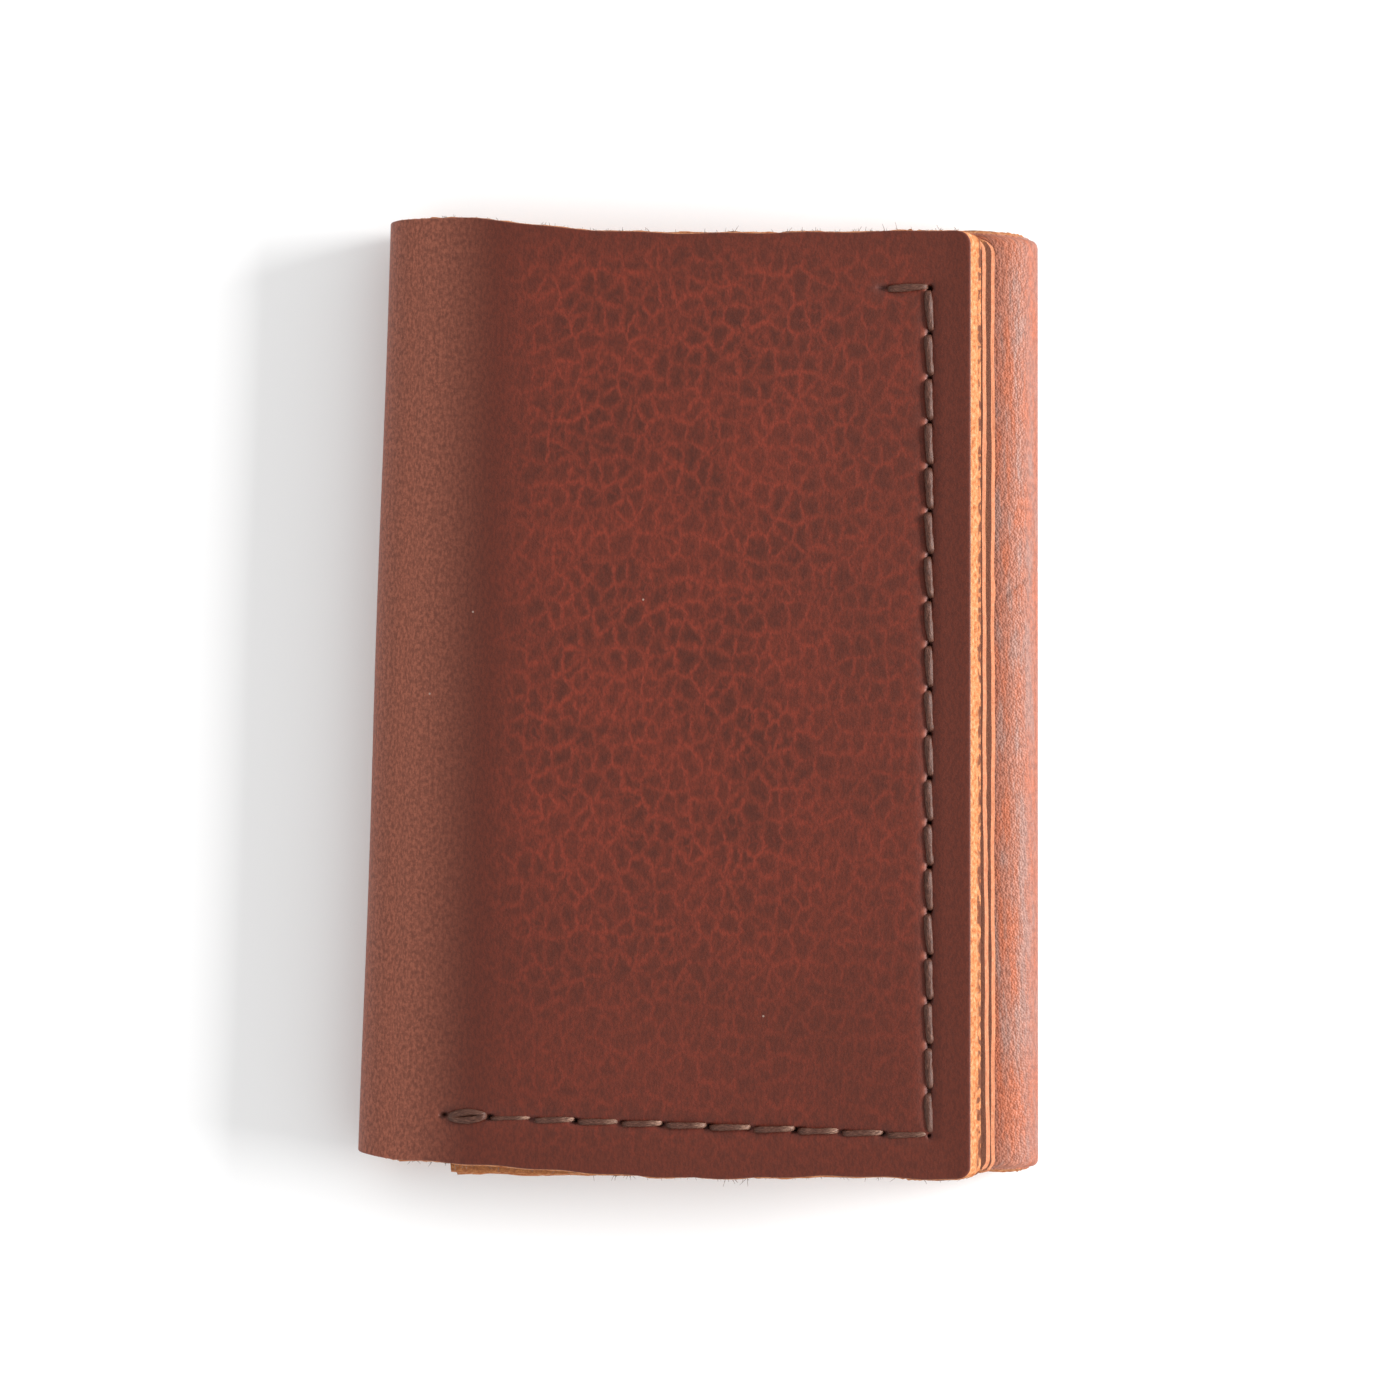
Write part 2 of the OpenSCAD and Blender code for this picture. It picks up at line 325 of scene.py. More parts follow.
def waxedGrain():
    # waxed vegetable-tanned cowhide, tumbled: dark pebbles in a network of redder furrows,
    # fine hair pores, a low wax sheen, paler where bent and pulled with a painted highlight, painted sheen
    # over the worn spine, and painted shade in the holes
    material, tree, shader = newMaterial("waxedVegetableTannedLeather")
    look = grainLook
    place = addNode(tree, "UVMap", unrolled)
    network, worn, pull, pit, lip = (addNode(tree, "Attribute", {"attribute_name": mark}, "Fac")
                                     for mark in ("network", "worn", "pull", "pit", "lip"))
    cloud = {name: addNode(tree, "TexNoise", flat, "Fac", Vector=place, Scale=1 / size, Detail=detail,
                           Roughness=roughness)
             for name, (size, detail, roughness) in grainClouds.items()}

    # the furrows: cell borders at two sizes on a map that strays and is drawn taller
    stray = addNode(tree, "TexNoise", flat, "Color", Vector=place, Scale=1 / 1.6, Detail=2.0, Roughness=0.55)
    centred = addNode(tree, "VectorMath", {"operation": "SUBTRACT"}, i0=stray, i1=(0.5, 0.5, 0.5))
    scaled = addNode(tree, "VectorMath", {"operation": "SCALE"}, i0=centred, Scale=look["wander"] * 2)
    strayed = addNode(tree, "VectorMath", added, i0=place, i1=scaled)
    warped = addNode(tree, "VectorMath", times, i0=strayed, i1=(1, 1 / look["tall"], 1))
    largeEdge = addNode(tree, "TexVoronoi", cells, "Distance", Vector=warped, Scale=1 / look["cell"])
    smallEdge = addNode(tree, "TexVoronoi", cells, "Distance", Vector=warped, Scale=1 / look["smallCell"])
    large = addNode(tree, "MapRange", eased, i0=largeEdge, i1=0.0, i2=look["largeFurrow"], i3=1.0, i4=0.0)
    small = addNode(tree, "MapRange", eased, i0=smallEdge, i1=0.0, i2=look["smallFurrow"], i3=1.0, i4=0.0)
    patchy = addNode(tree, "MapRange", eased, i0=cloud["patchy"], i1=0.34, i2=0.66)
    halfPatchy = addNode(tree, "MapRange", eased, i0=patchy, i1=0.0, i2=1.0, i3=0.5, i4=1.0)
    patchySmall = addNode(tree, "MapRange", eased, i0=cloud["patchySmall"], i1=0.42, i2=0.72)
    faintPatchy = addNode(tree, "Math", times, i0=patchySmall, i1=0.5)
    largeShown = addNode(tree, "Math", times, i0=large, i1=halfPatchy)
    smallShown = addNode(tree, "Math", times, i0=small, i1=faintPatchy)
    furrow = addNode(tree, "Math", {"operation": "MAXIMUM"}, i0=largeShown, i1=smallShown)
    furrowShown = addNode(tree, "Math", timesHeld, i0=furrow, i1=network)

    # pebbles darker in their middles, redder furrows between them, clouds of tone over both
    middle = addNode(tree, "MapRange", eased, i0=largeEdge, i1=0.12, i2=0.46)
    blotchy = addNode(tree, "MapRange", eased, i0=cloud["blotchy"], i1=0.3, i2=0.7, i3=0.55, i4=1.0)
    blotched = addNode(tree, "Math", times, i0=middle, i1=blotchy)
    deepShown = addNode(tree, "Math", times, i0=blotched, i1=network)
    cell = addNode(tree, "Mix", mixed, 2, i0=deepShown, i6=look["cellColour"], i7=look["cellDeep"])
    furrowTone = addNode(tree, "Math", times, i0=furrowShown, i1=0.9)
    base = addNode(tree, "Mix", mixed, 2, i0=furrowTone, i6=cell, i7=look["furrowColour"])
    cloudy = addNode(tree, "MapRange", eased, i0=cloud["tone"], i1=0.38, i2=0.66, i3=0.0, i4=0.26)
    cloudShown = addNode(tree, "Math", times, i0=cloudy, i1=network)
    clouded = addNode(tree, "Mix", mixed, 2, i0=cloudShown, i6=base, i7=look["furrowColour"])

    # worn paler over the spine, which also paints the sheen of the spine's curve
    speck = addNode(tree, "MapRange", eased, i0=cloud["speck"], i1=0.4, i2=0.62)
    speckTone = addNode(tree, "Math", times, i0=speck, i1=0.55)
    wornSheenFlecked = addNode(tree, "Mix", mixed, 2, i0=speckTone, i6=look["wornSheenColour"], i7=look["wornSheenSpeck"])
    wornSheenBase = addNode(tree, "Mix", mixed, 2, i0=worn, i6=clouded, i7=wornSheenFlecked)

    # where the leather is bent it pulls paler in streaks along the bend; the pale and grey streaks also paint
    # the highlight of the fold's sheen
    along = addNode(tree, "VectorMath", times, i0=place, i1=(1, look["dragged"], 1))
    streak = addNode(tree, "TexNoise", flat, "Fac", Vector=along, Scale=1 / 1.5, Detail=3.0, Roughness=0.6)
    orange = addNode(tree, "MapRange", eased, i0=streak, i1=0.5, i2=0.64)
    grey = addNode(tree, "MapRange", eased, i0=streak, i1=0.36, i2=0.48, i3=1.0, i4=0.0)
    warm = addNode(tree, "Mix", mixed, 2, i0=orange, i6=look["pullHighlightColour"], i7=look["pullHighlightOrange"])
    streaked = addNode(tree, "Mix", mixed, 2, i0=grey, i6=warm, i7=look["pullHighlightGrey"])
    pulledAndHighlighted = addNode(tree, "Mix", mixed, 2, i0=pull, i6=wornSheenBase, i7=streaked)

    # fine dark flecks, the raised lips of the holes, dust, and painted shade in the holes
    combed = addNode(tree, "VectorMath", times, i0=place, i1=(1, look["combed"], 1))
    speckle = addNode(tree, "TexNoise", flat, "Fac", Vector=combed, Scale=1 / (look["pore"] * 2.2),
                      Detail=3.0, Roughness=0.7)
    fleck = addNode(tree, "MapRange", eased, i0=speckle, i1=0.4, i2=0.62, i3=0.0, i4=0.36)
    speckled = addNode(tree, "Mix", mixed, 2, i0=fleck, i6=pulledAndHighlighted, i7=look["fleckColour"])
    lipTone = addNode(tree, "Math", timesHeld, i0=lip, i1=0.6)
    lipped = addNode(tree, "Mix", mixed, 2, i0=lipTone, i6=speckled, i7=look["lipColour"])
    dustScale = 1 / look["dustApart"]
    dustPick = addNode(tree, "TexVoronoi", spots, "Color", Vector=place, Scale=dustScale)
    dustNear = addNode(tree, "TexVoronoi", spots, "Distance", Vector=place, Scale=dustScale)
    chosen = addNode(tree, "Math", {"operation": "GREATER_THAN"}, i0=dustPick, i1=0.8)
    dustSpot = addNode(tree, "MapRange", eased, i0=dustNear, i1=0.007, i2=0.013, i3=1.0, i4=0.0)
    dust = addNode(tree, "Math", times, i0=dustSpot, i1=chosen)
    dustTone = addNode(tree, "Math", times, i0=dust, i1=0.55)
    dusty = addNode(tree, "Mix", mixed, 2, i0=dustTone, i6=lipped, i7=look["dustColour"])
    holeShaded = addNode(tree, "Mix", mixed, 2, i0=pit, i6=dusty, i7=look["holeShadeColour"])
    tree.links.new(holeShaded, shader.inputs["Base Color"])

    # relief: sunk furrows, pores, and fine pebbles that stand out more where the leather is pulled
    fine = addNode(tree, "TexVoronoi", spots, "Distance", Vector=place, Scale=1 / look["fine"])
    stretched = addNode(tree, "MapRange", eased, i0=pull, i1=0.0, i2=1.0, i3=0.35, i4=1.8)
    pebble = addNode(tree, "Math", times, i0=fine, i1=stretched)
    sunkFurrow = addNode(tree, "Math", times, i0=furrowShown, i1=-0.45)
    poreHigh = addNode(tree, "Math", times, i0=cloud["pores"], i1=0.3)
    poreAndPebble = addNode(tree, "Math", added, i0=poreHigh, i1=pebble)
    height = addNode(tree, "Math", added, i0=sunkFurrow, i1=poreAndPebble)
    relief = addNode(tree, "Bump", None, Strength=0.5, Distance=look["reliefDepth"], Height=height)
    tree.links.new(relief, shader.inputs["Normal"])
    gloss = addNode(tree, "MapRange", eased, i0=cloud["pores"], i1=0.25, i2=0.75, i3=0.42, i4=0.62)
    tree.links.new(gloss, shader.inputs["Roughness"])
    shader.inputs["IOR"].default_value = look["ior"]
    shader.inputs["Specular IOR Level"].default_value = look["specular"]
    return material


edgeLook = {
    "tans": [(0.30, "#91502c"), (0.46, "#ac6b40"), (0.62, "#ba8059"), (0.8, "#c79a79")],
    "thinColour": "#a3674f",     # rims of the pocket layers
    "fleckColour": "#54291a",
    "fleckFrom": 0.95,           # mm below the grain where the dark flecks begin
    "fleckFull": 1.3,
    "reliefDepth": 0.0001,       # m
    "roughness": 0.85,
    "specular": 0.25,
}


def rawEdge():
    # the cut edge of vegetable-tanned leather: pale tan fibre, orange where the tannin is dense,
    # left unburnished, with short dark flecks along the flesh side
    material, tree, shader = newMaterial("rawCutLeatherEdge")
    look = edgeLook
    place = addNode(tree, "UVMap", unrolled)
    drawn = addNode(tree, "VectorMath", times, i0=place, i1=(0.75, 1.3, 1))
    blotch = addNode(tree, "TexNoise", flat, "Fac", Vector=drawn, Scale=2.6, Detail=5.0, Roughness=0.62)
    tan = addNode(tree, "ValToRGB", {"stops": look["tans"]}, i0=blotch)
    thin = addNode(tree, "Attribute", {"attribute_name": "bare"}, "Fac")
    thinTone = addNode(tree, "Math", times, i0=thin, i1=0.6)
    colour = addNode(tree, "Mix", mixed, 2, i0=thinTone, i6=tan, i7=look["thinColour"])
    depth = addNode(tree, "SeparateXYZ", None, 1, Vector=place)
    fleck = addNode(tree, "TexNoise", flat, "Fac", Vector=drawn, Scale=1.3, Detail=3.0)
    lowDown = addNode(tree, "MapRange", eased, i0=depth, i1=look["fleckFrom"], i2=look["fleckFull"])
    broken = addNode(tree, "MapRange", eased, i0=fleck, i1=0.42, i2=0.54)
    lowBand = addNode(tree, "Math", times, i0=lowDown, i1=broken)
    bandTone = addNode(tree, "Math", times, i0=lowBand, i1=0.9)
    flecked = addNode(tree, "Mix", mixed, 2, i0=bandTone, i6=colour, i7=look["fleckColour"])
    tree.links.new(flecked, shader.inputs["Base Color"])
    fibre = addNode(tree, "TexNoise", flat, "Fac", Vector=drawn, Scale=5.0, Detail=4.0)
    relief = addNode(tree, "Bump", None, Strength=0.5, Distance=look["reliefDepth"], Height=fibre)
    tree.links.new(relief, shader.inputs["Normal"])
    shader.inputs["Roughness"].default_value = look["roughness"]
    shader.inputs["Specular IOR Level"].default_value = look["specular"]
    return material


fleshLook = {
    "naps": [(0.3, "#8e5330"), (0.55, "#b0703f"), (0.75, "#c88a55")],
    # painted shade on the flesh beside the cut of the pocket layers
    "rimShadeColour": "#70402c",      # beside the cut of the pocket layers
    "reliefDepth": 0.00015,      # m
    "roughness": 0.95,
    "sheen": 0.3,
}


def fleshSide():
    # the flesh side: brushed split fibre, matt, tan brown with a short nap, with painted shade beside the cut
    # of the pocket layers
    material, tree, shader = newMaterial("brushedFleshSide")
    look = fleshLook
    place = addNode(tree, "UVMap", unrolled)
    nap = addNode(tree, "TexNoise", flat, "Fac", Vector=place, Scale=2.6, Detail=5.0, Roughness=0.7)
    bare = addNode(tree, "Attribute", {"attribute_name": "bare"}, "Fac")
    brushed = addNode(tree, "ValToRGB", {"stops": look["naps"]}, i0=nap)
    rimShaded = addNode(tree, "Mix", mixed, 2, i0=bare, i6=brushed, i7=look["rimShadeColour"])
    tree.links.new(rimShaded, shader.inputs["Base Color"])
    relief = addNode(tree, "Bump", None, Strength=0.8, Distance=look["reliefDepth"], Height=nap)
    tree.links.new(relief, shader.inputs["Normal"])
    shader.inputs["Roughness"].default_value = look["roughness"]
    shader.inputs["Sheen Weight"].default_value = look["sheen"]
    return material


waxLook = {
    "plies": [(0.3, "#301911"), (0.55, "#553226"), (0.75, "#815a4a")],
    "rubbedColour": "#ac8672",
    "reliefDepth": 0.00005,      # m
    "roughness": 0.48,
    "specular": 0.32,
}


def waxedThread():
    # waxed linen thread, two plies laid together: dark brown with a greasy highlight on each ply,
    # and tan where it has been rubbed
    material, tree, shader = newMaterial("waxedLinenThread")
    look = waxLook
    place = addNode(tree, "UVMap", unrolled)
    rubbed = addNode(tree, "Attribute", {"attribute_name": "rubbed"}, "Fac")
    fibre = addNode(tree, "TexNoise", flat, "Fac", Vector=place, Scale=4.5, Detail=4.0, Roughness=0.7)
    colour = addNode(tree, "ValToRGB", {"stops": look["plies"]}, i0=fibre)
    raised = addNode(tree, "MapRange", eased, i0=fibre, i1=0.4, i2=0.6)
    spot = addNode(tree, "Math", timesHeld, i0=rubbed, i1=raised)
    spotted = addNode(tree, "Mix", mixed, 2, i0=spot, i6=colour, i7=look["rubbedColour"])
    tree.links.new(spotted, shader.inputs["Base Color"])
    relief = addNode(tree, "Bump", None, Strength=0.6, Distance=look["reliefDepth"], Height=fibre)
    tree.links.new(relief, shader.inputs["Normal"])
    shader.inputs["Roughness"].default_value = look["roughness"]
    shader.inputs["Specular IOR Level"].default_value = look["specular"]
    return material


def looseFibre():
    # loose collagen fibres that stand off the cut edges, grey-brown and matt
    material, tree, shader = newMaterial("looseLeatherFibre")
    place = addNode(tree, "UVMap", unrolled)
    tone = addNode(tree, "TexNoise", flat, "Fac", Vector=place, Scale=0.7)
    greys = addNode(tree, "ValToRGB", {"stops": [(0.3, "#4a3a36"), (0.7, "#93857e")]}, i0=tone)
    tree.links.new(greys, shader.inputs["Base Color"])
    shader.inputs["Roughness"].default_value = 0.9
    return material


print("materials")
grainLeather, edgeLeather, fleshLeather = waxedGrain(), rawEdge(), fleshSide()
threadLook, fibreLook = waxedThread(), looseFibre()
leatherSet = [grainLeather, edgeLeather, fleshLeather]


def seamPoints(corner, direction, run, count):      # holes along one straight seam
    steps = np.arange(count + 1)[:, None] / count
    return np.array(corner) + np.array(direction) * run * steps


halfW, halfLeg = seam["threadW"] / 2, seam["legW"] / 2
seamY = frontSeamLow[1] + halfW
seamTopY = frontSeamHigh[1] - halfW
seamInset = (sideX - frontSeamHigh[0]) + halfW
sideRun = (seamTopY - seamY) / math.cos(lean)
sideCorner = (sideAt(seamY, seamInset), seamY)
topCorner = (sideAt(seamTopY, seamInset), seamTopY)
bottomRun = sideCorner[0] - frontSeamLow[0] - halfLeg
sideHoles = seamPoints(sideCorner, (-math.sin(lean), math.cos(lean)), sideRun,
                       round(sideRun / seam["stitch"]))
bottomHoles = seamPoints(sideCorner, (-1, 0), bottomRun, round(bottomRun / seam["stitch"]))
stubHoles = seamPoints(topCorner, (-1, 0), seam["stitch"], 1)
backRun = backSeamHigh[0] - backSeamLow[0] - seam["legW"]
backHoles = seamPoints((backSeamHigh[0] - halfLeg, backSeamLow[1] + halfW), (-1, 0), backRun,
                       round(backRun / seam["stitch"]))
frontHoles = np.concatenate([sideHoles, bottomHoles[1:], stubHoles[1:]])


# places from low to high about step apart, closer inside each (centre, half width, step)
def spread(low, high, step, fine=()):
    places = [low]
    while places[-1] < high:
        here = step
        for centre, half, close in fine:
            distance = max(0.0, abs(places[-1] - centre) - half)
            here = min(here, close + distance * 0.35)
        places.append(places[-1] + here)
    places = np.array(places)
    return low + (places - low) * (high - low) / (places[-1] - low)


def sink(x):                                   # how far the front layers sink towards the spine
    q = np.clip((x - flatX) / (spineX + holder["dropEnd"] - flatX), 0, 1)
    span = spineX + holder["dropEnd"] - flatX
    return holder["spineDrop"] * (1 - smooth(q)) - holder["dropSlope"] * span * (q ** 3 - 2 * q ** 2 + q)


def holeField(x, y, holes, reach):             # 1 in the middle of the nearest hole, 0 away from it
    best = np.zeros_like(x)
    for hx, hy in holes:
        near = np.exp(-(((x - hx) ** 2 + (y - hy) ** 2) / reach ** 2) ** 1.5)
        best = np.maximum(best, near)
    return best


def alongSeam(x, y, start, end):               # distance from a straight run of stitches
    d = np.array(end) - np.array(start)
    t = np.clip(((x - start[0]) * d[0] + (y - start[1]) * d[1]) / (d @ d), 0, 1)
    return np.hypot(x - start[0] - t * d[0], y - start[1] - t * d[1])


def cornerCut(up, radius):                     # how far a quarter round cuts back each row near both ends
    near = np.minimum(up - up[0], up[-1] - up)
    return np.where(near < radius, radius - np.sqrt(np.maximum(radius ** 2 - (radius - near) ** 2, 0)), 0)


# points of a sheet in plan: rows run from the left edge to the leaning right side, whose corners
# are quarter rounds, and every row is moved by the strays of the cut edges
def planGrid(left, inset, across, up, arris, yLow, yHigh, radius):
    share = (across - across[0]) / (across[-1] - across[0])
    y = up[:, None] + np.zeros_like(share)[None, :]
    right = sideAt(up, inset + arris) - cornerCut(up, radius)
    x = left + (right - left)[:, None] * share[None, :]
    v = ((up - up[0]) / (up[-1] - up[0]))[:, None]
    m = x - spineX
    y = y + (1 - v) ** 3 * yLow(m) + v ** 3 * yHigh(m)
    return x, y


# outward directions round the rim, square to it in plan; none in x along a joined left edge
def rimOutward(x, y, keepLeft):
    rows, cols = x.shape
    rim = rimOf(rows, cols)
    px, py = x.ravel()[rim], y.ravel()[rim]
    tx, ty = np.roll(px, -1) - np.roll(px, 1), np.roll(py, -1) - np.roll(py, 1)
    out = np.stack([ty, -tx, tx * 0], -1) / np.maximum(np.hypot(tx, ty), 1e-9)[:, None]
    if keepLeft:
        isLeft = rim % cols == 0
        out[isLeft] = 0
        out[rim == 0] = (0, -1, 0)
        out[rim == (rows - 1) * cols] = (0, 1, 0)
    return out


coverLook = {
    "gridStep": 0.62,        # mm between columns away from seams and rims
    "rowStep": 0.52,         # mm between rows
    "grooveDeep": 0.24,      # mm that the stitches press the leather in
    "grooveWide": 0.95,      # mm, half width of that groove
    "holeDeep": 0.75,        # mm that the leather dips into a hole
    "holeWide": 0.31,        # mm, radius
    "lipHigh": 0.10,         # mm that the leather stands up beside a hole
    "turnedUp": 0.16,        # mm that the free rim turns up
    "rimWide": 2.6,          # mm
    "plainTo": 11.5,         # mm from the spine's outside to where the furrows begin
    # the wear band also carries the painted sheen of the spine's curve
    "wornSheenFrom": 4.0,         # mm from the spine's outside, where the wear starts to fade
    "wornSheenOver": 9.5,         # mm over which it fades
}


# wear and painted sheen on the cover, fading away from the spine
def coverWornSheen(m):             # wear on the cover by mm from the spine's outside
    return 1 - smooth((m - coverLook["wornSheenFrom"]) / coverLook["wornSheenOver"])


def makeCover():
    print("front cover")
    arris, radius = holder["arris"], holder["cornerR"]
    inset = sideX - coverHigh[0] + holder["cutSlant"]
    seamX = sideCorner[0]
    across = spread(flatX, sideAt(bottomY, inset), coverLook["gridStep"],
                    [(seamX, 0.9, 0.15), (sideAt(bottomY, inset), 0.2, 0.2)])
    up = spread(bottomY + arris, topY - arris, coverLook["rowStep"],
                [(seamY, 0.6, 0.16), (seamTopY, 0.5, 0.18), (bottomY, 0.5, 0.12), (topY, 0.5, 0.12)])
    x, y = planGrid(flatX, inset, across, up, arris, bottomStray, topStray, radius - arris)
    fromSide = sideAt(y, inset) - x
    seams = np.minimum(np.minimum(alongSeam(x, y, sideHoles[0], sideHoles[-1]),
                                  alongSeam(x, y, bottomHoles[0], bottomHoles[-1])),
                       alongSeam(x, y, stubHoles[0], stubHoles[-1]))
    # the hole field dips the leather into each hole and also paints shade there
    pit = np.maximum(holeField(x, y, frontHoles[1:], coverLook["holeWide"]),
                     0.7 * holeField(x, y, frontHoles[:1], 0.2))       # smaller at the corner
    # a lip raised beside each hole of the side seam, and a lower one at the bottom seam's last hole
    lip = holeField(x + 0.62, y, sideHoles[1:], 0.30) + 0.5 * holeField(x + 0.6, y, [bottomHoles[-1]], 0.3)
    m = x - spineX
    swell = 0.10 * np.sin(m * 0.16 + y * 0.05) + 0.07 * np.sin(y * 0.13 - m * 0.09 + 1.2)
    z = stack - sink(x) + swell * smooth((m - 8) / 8)
    z = z - coverLook["grooveDeep"] * bump(seams, 0, coverLook["grooveWide"])
    z = z - coverLook["holeDeep"] * pit + coverLook["lipHigh"] * lip * (1 - pit)
    z = z + coverLook["turnedUp"] * smooth((coverLook["rimWide"] - fromSide) / coverLook["rimWide"])
    grain = np.stack([x, y, z], -1)
    flesh = np.stack([x, y, stack - coverT - sink(x) + 0.3 * swell * smooth((m - 8) / 8)], -1)
    outward = rimOutward(x, y, True)
    rim = rimOf(*x.shape)
    slant = np.zeros((len(rim), 3))
    slant[:, 0] = holder["cutSlant"] * smooth((outward[:, 0] - 0.15) / 0.7)
    uv = np.stack([arcLength + x - flatX, y], -1)
    fromEnds = np.minimum(y - bottomY, topY - y)
    # the furrows fade towards the spine and the edges, and a little to the right and the bottom
    network = smooth((m - coverLook["plainTo"]) / 9)
    network = network * smooth((fromSide - 2.5) / 5) * smooth((fromEnds + 1.5) / 7)
    network = network * (1 - 0.35 * smooth((m - 42) / 12)) * (1 - 0.55 * smooth((bottomY + 36 - y) / 24))
    marks = {"network": network, "worn": coverWornSheen(m), "pull": x * 0, "pit": pit, "lip": lip}
    piece = leatherSheet("frontCoverLeather", grain, flesh, outward, uv, leatherSet, marks, slant=slant)
    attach(piece, "front")
    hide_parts("front_cover")
    return piece


spineShape = {
    "strips": 4,             # one to each hinge
    "columns": 33,           # across a strip
    "rowStep": 1.0,          # mm
    "cutBack": 0.45,         # mm that the bottom edge is cut back at the outside of the spine
    "waver": 0.06,           # mm that the grain side wavers in and out
    "bendShare": 0.98,       # share of the flesh side that the bend takes up
}


# distance of the grain side from the spine's centre: the frame's radius up to near the outside of
# the spine, then drawn in by a fifth-order step that meets the cover's sunk edge with its slope
def spineRadius(angle):
    start = math.radians(holder["drawnFrom"])
    s = np.clip((angle - start) / (math.pi - start), 0, 1)
    end = spineR - holder["spineDrop"]
    drawn = s ** 3 * (10 - 15 * s + 6 * s ** 2)
    sloped = holder["dropSlope"] * end * (math.pi - start) * (s ** 4 - s ** 3)
    return spineR - holder["spineDrop"] * drawn + sloped


# one of the spine's strips: a ring sector between two angles, carried from the bottom edge to the
# top edge; the unrolled length on its grain side is the map's first number
def spineStrip(name, number, replaced):
    bend = math.pi / spineShape["strips"]
    angle = np.linspace(number * bend, (number + 1) * bend, spineShape["columns"])[None, :]
    up = spread(bottomY + holder["arris"], topY - holder["arris"], spineShape["rowStep"],
                [(bottomY, 0.5, 0.12), (topY, 0.5, 0.12)])[:, None]
    outer = spineRadius(angle)
    joined = flatX - spineX                       # the cover's and panel's strays where they meet the spine
    share = 0.5 + 0.5 * smooth(angle / math.pi)
    v = (up - up[0]) / (up[-1] - up[0])
    y = up + (1 - v) ** 3 * share * bottomStray(joined) + v ** 3 * share * topStray(joined)
    y = y + (1 - v) ** 3 * spineShape["cutBack"] * np.sin(angle) ** 2
    waver = spineShape["waver"] * np.sin(y * 0.11 + 0.6) * np.sin(angle)

    def ring(radius):
        x, z = flatX - radius * np.sin(angle), spineR - radius * np.cos(angle)
        return np.stack([x + y * 0, y, z + y * 0], -1)

    grain, flesh = ring(outer + waver), ring(outer - coverT + 0 * y)
    rows, cols = grain.shape[:2]
    rim = rimOf(rows, cols)
    outward = np.zeros((len(rim), 3))
    outward[rim < cols, 1] = -1
    outward[rim >= (rows - 1) * cols, 1] = 1
    uv = np.stack([spineR * angle + y * 0, y], -1)
    ones = np.ones_like(y + angle * 0)
    # the full wear colour with its painted sheen over the spine, easing to the cover's value where they join
    worn = ones * (1 - (1 - coverWornSheen(joined)) * smooth((angle - math.pi / 2) / (math.pi / 2)))
    marks = {"network": ones * 0, "worn": worn, "pull": ones * 0, "pit": ones * 0, "lip": ones * 0}
    piece = leatherSheet(name, grain, flesh, outward, uv, leatherSet, marks, fray=0.03)
    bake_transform(piece)
    if replaced:
        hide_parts(replaced)
    return piece


backLook = {
    "foldWide": 4.6,         # mm from the fold's outside to where it lies flat
    "foldHigh": 5.65,        # mm, crest of the flap beside the fold
    "settle": 13.0,          # mm over which the flap sinks from that crest to its own height
    "pinch": 0.8,            # mm that the seam draws the flap down
    "crooked": 0.55,         # mm that the right side sits nearer the top edge than the cover does
    "creaseY": 13.2,         # mm up from the middle, a short crease across the fold
    "flare": 0.35,           # mm that the cut edges stand out at the flesh side
    "cornerR": 0.9,          # mm
    "holeWide": 0.36,        # mm, radius
}


# how far the back's rows move along y, where v is 0 at the bottom edge and 1 at the top edge
def backStray(m, v):
    cut = (1 - v) ** 3 * 0.5 * bottomStray(m) + v ** 3 * 0.5 * topStray(m)
    return cut + (backLook["crooked"] + (1 - v) * 0.5) * smooth((m - 20) / 45)


